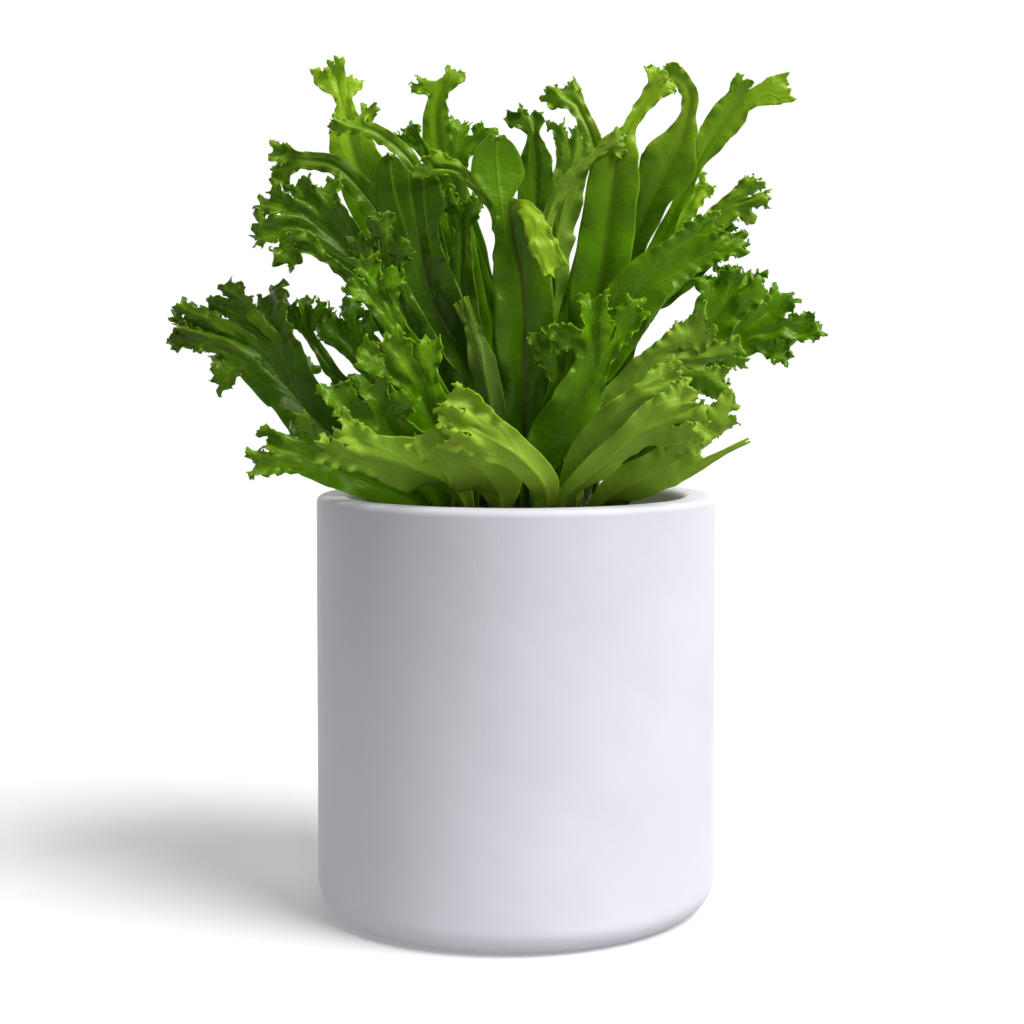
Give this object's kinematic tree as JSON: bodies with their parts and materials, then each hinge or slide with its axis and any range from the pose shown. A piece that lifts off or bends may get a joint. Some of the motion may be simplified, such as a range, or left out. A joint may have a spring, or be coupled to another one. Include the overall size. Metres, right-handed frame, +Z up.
{
  "type": "potted leslie birds nest fern",
  "caption": "Crested bird's nest fern with forked, ruffled frond ends, rooted in soil in a plain white cylinder pot.",
  "frame": {"origin": "centre of the flat underside of the pot", "axes": "+Z up along the pot's axis, +X to the right and +Y to the back as the picture sees it"},
  "size_m": [0.3286, 0.2346, 0.4296],
  "materials": {
    "pot": "matte",
    "soil": "rough",
    "crown": "rough",
    "frond": "satin"
  },
  "bodies": {
    "root": {"pot": "pot", "soil": "soil", "crown": "crown", "frond_01": "frond", "frond_02": "frond", "frond_03": "frond", "frond_04": "frond", "frond_05": "frond", "frond_06": "frond", "frond_07": "frond", "frond_08": "frond", "frond_09": "frond", "frond_10": "frond", "frond_11": "frond", "frond_12": "frond", "frond_13": "frond", "frond_14": "frond", "frond_15": "frond", "frond_16": "frond", "frond_17": "frond", "frond_18": "frond", "frond_19": "frond", "frond_20": "frond", "frond_21": "frond", "frond_22": "frond", "frond_23": "frond", "frond_24": "frond", "frond_25": "frond", "frond_26": "frond", "frond_27": "frond", "frond_28": "frond", "frond_29": "frond", "frond_30": "frond", "frond_31": "frond", "frond_32": "frond", "frond_33": "frond", "frond_34": "frond", "frond_35": "frond", "frond_36": "frond", "frond_37": "frond", "frond_38": "frond", "frond_39": "frond", "frond_40": "frond", "frond_41": "frond", "frond_42": "frond", "frond_43": "frond", "frond_44": "frond", "frond_45": "frond", "frond_46": "frond", "frond_47": "frond", "frond_48": "frond", "frond_49": "frond", "frond_50": "frond", "frond_51": "frond", "frond_52": "frond", "frond_53": "frond", "frond_54": "frond", "frond_55": "frond", "frond_56": "frond"}
  },
  "joints": []
}
